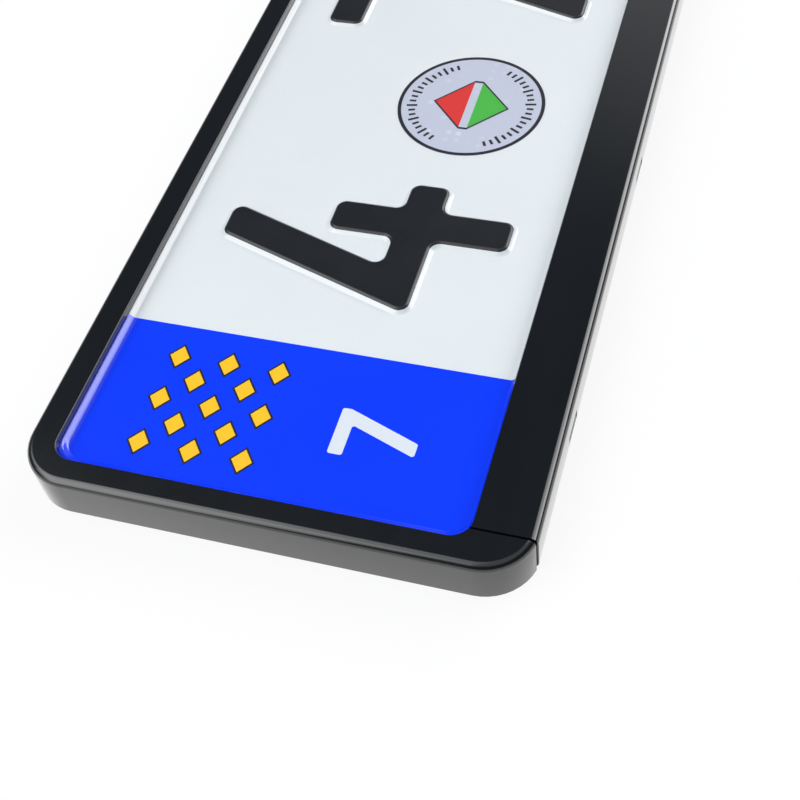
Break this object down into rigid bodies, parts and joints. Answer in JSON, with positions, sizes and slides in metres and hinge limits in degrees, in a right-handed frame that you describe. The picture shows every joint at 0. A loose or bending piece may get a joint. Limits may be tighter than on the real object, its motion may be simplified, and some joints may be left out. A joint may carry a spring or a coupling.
{
  "type": "number plate holder",
  "caption": "Black frame holder for a long car number plate, with a hinged closing strip along the bottom edge and an embossed plate clipped in.",
  "frame": {"origin": "middle of the holder's back plane, where it lies on a surface", "axes": "+X along the plate in reading direction, +Y to the plate's top edge, +Z out of the plate's front"},
  "size_m": [0.5252, 0.122, 0.012],
  "materials": {
    "black_plastic": "glossy black moulding",
    "white_sheet": "white reflective film on embossed sheet",
    "blue_film": "smooth reflective film",
    "yellow_print": "print with a dark edge",
    "white_print": "print",
    "black_foil": "hot stamped foil",
    "silver_label": "silvery label",
    "dark_print": "print",
    "red_print": "print",
    "green_print": "print"
  },
  "bodies": {
    "holder": {"base_frame": "black_plastic", "number_plate": "white_sheet", "blue_film": "blue_film", "band_marks": "yellow_print", "band_digit": "white_print", "digit_foil": "black_foil", "seal_label": "silver_label", "seal_ring": "dark_print", "seal_upper_field": "red_print", "seal_lower_field": "green_print"},
    "strip": {"closing_strip": "black_plastic"}
  },
  "joints": [
    {"name": "strip_hinge", "type": "hinge", "parent": "holder", "child": "strip", "pos_m": [0, -0.0586, 0.0024], "axis": [1, 0, 0], "range_deg": [0, 90]}
  ]
}
